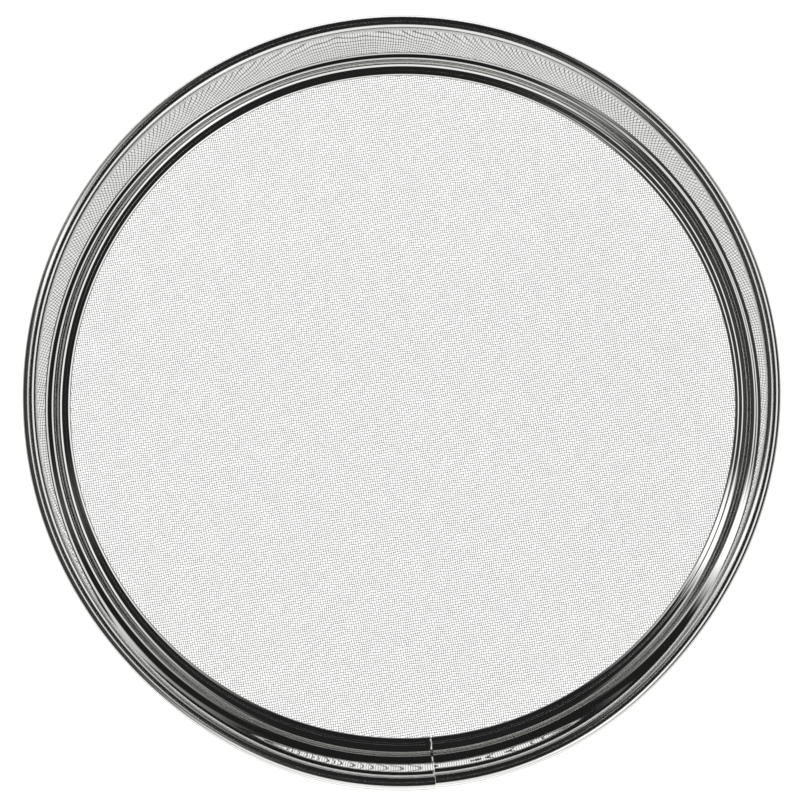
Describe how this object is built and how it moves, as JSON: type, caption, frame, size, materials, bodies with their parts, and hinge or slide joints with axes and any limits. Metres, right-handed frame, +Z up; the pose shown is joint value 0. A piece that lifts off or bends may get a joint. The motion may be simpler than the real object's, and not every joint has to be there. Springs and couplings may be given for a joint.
{
  "type": "drum sieve",
  "caption": "Shallow round drum sieve (tamis) of mirror-polished stainless steel: a hoop with a rolled rim, a shouldered lower end and a fine woven wire mesh across its foot.",
  "frame": {"origin": "on the drum's axis, on the plane that the foot hoop stands on", "axes": "+Z up the drum's axis from the mesh to the open rim; the warp wires run along Y and the weft wires along X"},
  "size_m": [0.3, 0.3, 0.06],
  "materials": {
    "polished_hoop": "mirror-polished stainless steel sheet, bare",
    "wire_mesh": "bright drawn stainless steel wire, plain weave"
  },
  "bodies": {
    "root": {"drum_hoop": "polished_hoop", "foot_hoop": "polished_hoop", "mesh_weft": "wire_mesh", "mesh_warp": "wire_mesh"}
  },
  "joints": []
}
